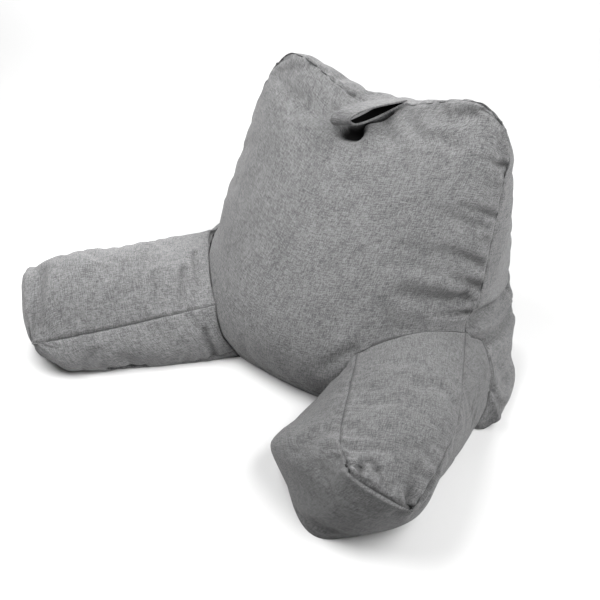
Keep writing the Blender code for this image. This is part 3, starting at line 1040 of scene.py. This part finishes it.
class PILLOW_OT_arms(bpy.types.Operator):
    """Build the two stuffed arms, each trimmed to the backrest that it is sewn to"""

    bl_idname = "reading_pillow.arms"
    bl_label = "Arms"

    def execute(self, context):
        backrest = bpy.data.objects["backrest_cushion"]
        tree = BVHTree.FromObject(backrest, context.evaluated_depsgraph_get())
        for seed, name in enumerate(ARM_ROWS, start=21):
            self.add_arm(name, tree, context.scene.reading_pillow, seed)
        return {"FINISHED"}

    def add_arm(self, name, tree, pillow, seed):
        rough, fine = Skin(ARM_SHAPED), Skin(ARM_FINISHED)
        points = arm_points(name, rough.shares) + foot()
        held = still_points(points, arm_seams(rough)[:1])
        points = eased(rough, points, held, ARM_EASE)
        full = stuffed(rough, points, held, pillow.filling)
        points = towards(points, full, smooth((rough.shares[:, 1] - ARM_ROOT_HELD) / ARM_ROOT_FADE))
        points = trimmed(rough, points, fine, tree, pillow.sewing.sewn_gap)
        seams = arm_seams(fine)
        still = still_points(points, seams) | (fine.counts[:, 1] == 0)
        add_cushion(name, fine, points, seams, still, ARM_SIDES, seed, ARM_PAINTED_LIGHT[name])


def strap_outline(loop):
    """The strap's cross section as points, across and up, with two folded layers at each edge."""
    half, lift = loop.width / 2, loop.thickness / 2
    outline = []
    for turn in (1, -1):
        section = [(half - inset, rise) for inset, rise in STRAP_EDGE]
        section += [(half * place, 1.0) for place in STRAP_MIDDLE]
        section += [(inset - half, rise) for inset, rise in reversed(STRAP_EDGE[STRAP_UPPER:])]
        outline += [(turn * across, turn * lift * rise) for across, rise in section]
    return np.array(outline)


class PILLOW_OT_carry_loop(bpy.types.Operator):
    """Build the carrying loop: a folded strap bent double at the top seam"""

    bl_idname = "reading_pillow.carry_loop"
    bl_label = "Carrying Loop"

    def execute(self, context):
        pillow = context.scene.reading_pillow
        loop = pillow.loop
        rows = [dict(row, place=index) for index, row in enumerate(STRAP_ROWS)]
        at = np.linspace(0, len(rows) - 1, STRAP_SQUARES + 1)
        near, far = (
            np.column_stack([curve(rows, "place", f"{side}_{axis}", at) for axis in "xyz"]) + foot()
            for side in ("near", "far")
        )
        middle = (near + far) / 2
        across = far - near
        width = np.linalg.norm(across, axis=1)[:, None]
        across /= width
        up = np.cross(np.gradient(middle, axis=0), across)
        up /= np.linalg.norm(up, axis=1)[:, None]
        outline = strap_outline(loop)
        spread = outline[:, :1] * (width / loop.width)[:, None]
        rings = middle[:, None] + across[:, None] * spread + up[:, None] * outline[:, 1:]

        numbers = np.arange(rings[..., 0].size).reshape(rings.shape[:2])
        beside = np.roll(numbers, -1, axis=1)
        quads = np.stack((numbers[:-1], beside[:-1], beside[1:], numbers[1:]), -1).reshape(-1, 4)
        faces = quads.tolist() + [numbers[0, ::-1].tolist(), numbers[-1].tolist()]
        run = run_along(middle)
        flat = np.stack(np.broadcast_arrays(outline[:, 0], run[:, None]), -1).reshape(-1, 2)
        gap = np.full(numbers.size, FAR_FROM_SEAM)
        # Painted shade: the faces inside the loop, within the stitching, are drawn unlit black for the
        # shade between the strands.
        inside = (outline[:, 1] > 0.0) & (np.abs(outline[:, 0]) < loop.width / 2 - loop.stitch_inset)
        strap = add_cloth(
            "carry_loop_strap", rings.reshape(-1, 3), faces, flat[np.concatenate(faces)],
            gap, np.tile(inside, len(rings)), woven_cloth("carry_loop_cloth", pillow.cloth),
        )
        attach(strap, "root")
        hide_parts("carry_loop")
        return {"FINISHED"}


class PILLOW_OT_studio(bpy.types.Operator):
    """Set the floor, the soft light and the camera"""

    bl_idname = "reading_pillow.studio"
    bl_label = "Studio"

    def execute(self, context):
        scene = context.scene
        studio = scene.reading_pillow.studio
        corners = [(x * FLOOR_HALF, y * FLOOR_HALF, 0.0) for x, y in ((-1, -1), (1, -1), (1, 1), (-1, 1))]
        floor = add_mesh("studio_floor", corners, [(0, 1, 2, 3)])
        floor.data.materials.append(plain_floor("studio_floor_paint", studio.floor))

        scene.world = bpy.data.worlds.new("studio_light")
        scene.world.use_nodes = True
        background = scene.world.node_tree.nodes["Background"]
        background.inputs["Color"].default_value = (1.0, 1.0, 1.0, 1.0)
        background.inputs["Strength"].default_value = studio.surround

        for index, lamp in enumerate(LAMPS, start=1):
            data = bpy.data.lights.new(f"soft_lamp_{index}", "AREA")
            data.shape = "DISK"
            data.size = lamp["width"]
            data.energy = studio.power * lamp["strength"]
            self.aimed(data, LIT_FROM_FOOT, lamp["turn"], lamp["rise"], lamp["distance"])

        data = bpy.data.cameras.new("studio_camera")
        data.lens = studio.lens
        data.sensor_width = SENSOR_WIDTH
        turn = studio.azimuth - 90.0  # the front lies 90 degrees before +X
        scene.camera = self.aimed(data, VIEW_FROM_FOOT, turn, studio.elevation, studio.distance)
        scene.view_settings.view_transform = "Standard"
        return {"FINISHED"}

    def aimed(self, data, target, turn, rise, distance):
        """A lamp or camera, in the given direction from the place that it faces."""
        turn, rise = np.radians(turn), np.radians(rise)
        back = Vector((np.cos(turn) * np.cos(rise), np.sin(turn) * np.cos(rise), np.sin(rise)))
        item = add_object(data.name, data)
        item.location = Vector(foot() + np.array(target)) + back * distance
        item.rotation_euler = back.to_track_quat("Z", "Y").to_euler()
        return item


class PILLOW_PT_panel(bpy.types.Panel):
    """The pillow's pieces, in the order in which they are built"""

    bl_label = "Reading Pillow"
    bl_idname = "PILLOW_PT_panel"
    bl_space_type = "VIEW_3D"
    bl_region_type = "UI"
    bl_category = "Pillow"

    def draw(self, context):
        for kind in OPERATORS:
            self.layout.operator(kind.bl_idname)


OPERATORS = (PILLOW_OT_backrest, PILLOW_OT_arms, PILLOW_OT_carry_loop, PILLOW_OT_studio)
CLASSES = (
    ClothSettings, SewingSettings, FillingSettings, LoopSettings, StudioSettings, PillowSettings,
    *OPERATORS, PILLOW_PT_panel,
)


def register():
    for kind in CLASSES:
        bpy.utils.register_class(kind)
    bpy.types.Scene.reading_pillow = PointerProperty(type=PillowSettings)


def unregister():
    del bpy.types.Scene.reading_pillow
    for kind in reversed(CLASSES):
        bpy.utils.unregister_class(kind)


def main():
    register()
    bpy.ops.reading_pillow.backrest()
    bpy.ops.reading_pillow.arms()
    bpy.ops.reading_pillow.carry_loop()
    bpy.ops.reading_pillow.studio()


if __name__ == "__main__":
    main()
